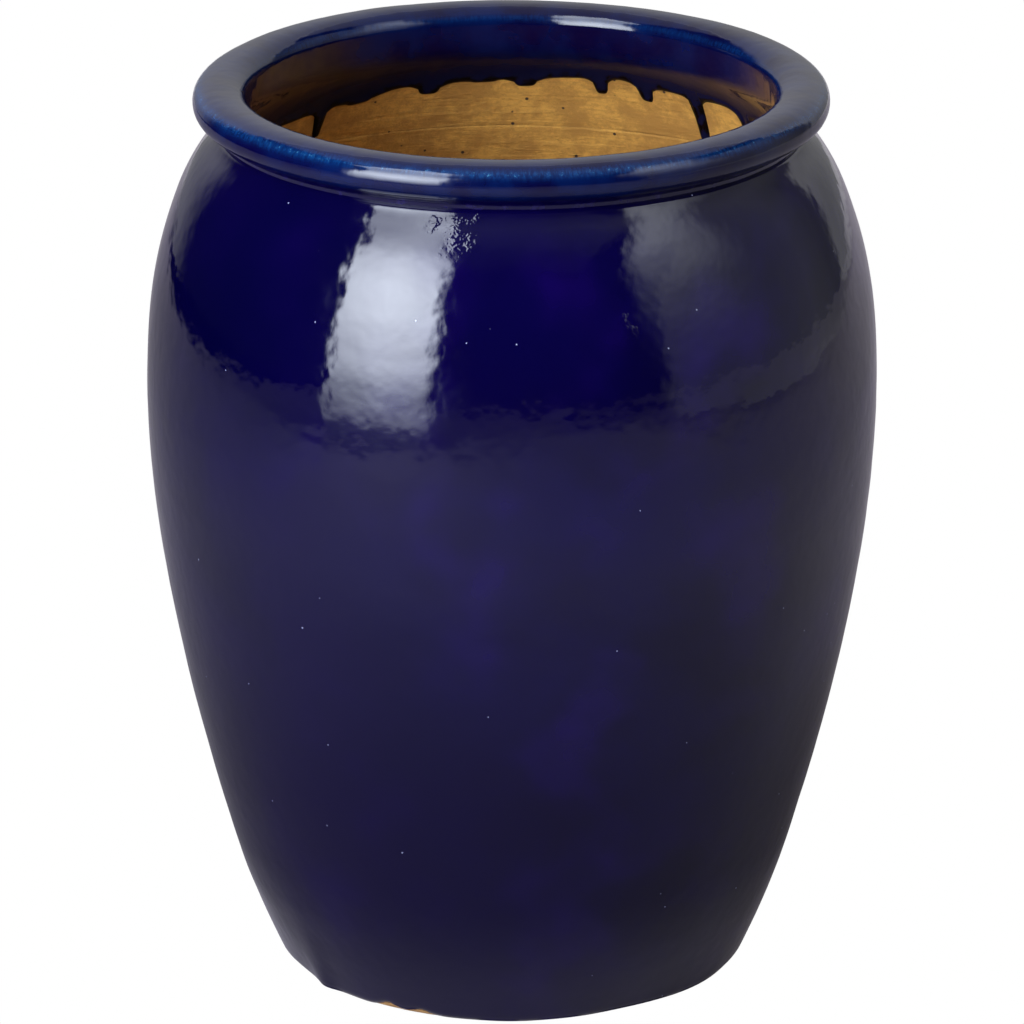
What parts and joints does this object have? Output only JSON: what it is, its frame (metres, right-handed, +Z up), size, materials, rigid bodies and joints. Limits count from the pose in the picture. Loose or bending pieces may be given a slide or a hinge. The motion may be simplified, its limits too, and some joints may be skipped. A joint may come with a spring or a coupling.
{
  "type": "planter pot",
  "caption": "Tall round-shouldered jar planter of glazed fired clay, with a rolled rim, an unglazed inside, a foot ring and a lift-out plug in its drain hole.",
  "frame": {"origin": "centre of the foot ring, on the surface the jar stands on", "axes": "+Z up along the jar's turning axis; the jar is round, so X and Y are arbitrary"},
  "size_m": [0.5096, 0.5096, 0.6363],
  "materials": {
    "fired_clay": "unglazed tan stoneware, matt, with fine throwing lines",
    "foot_clay": "unglazed orange-tan stoneware, matt",
    "cobalt_glaze": "deep cobalt blue glaze, high gloss",
    "bead_glaze": "cobalt blue glaze, gloss",
    "lip_glaze": "cobalt glaze that breaks to a lighter blue over the rim, gloss",
    "plug_rubber": "matt black"
  },
  "bodies": {
    "jar": {"foot_ring": "foot_clay", "base_slab": "fired_clay", "lower_wall": "fired_clay", "belly_wall": "fired_clay", "shoulder_wall": "fired_clay", "rim_roll": "fired_clay", "neck_bead": "bead_glaze", "outer_glaze": "cobalt_glaze", "rim_glaze": "lip_glaze"},
    "plug": {"drain_plug": "plug_rubber"}
  },
  "joints": [
    {"name": "plug_lift", "type": "slide", "parent": "jar", "child": "plug", "axis": [0, 0, 1], "range_m": [0, 0.06]}
  ]
}
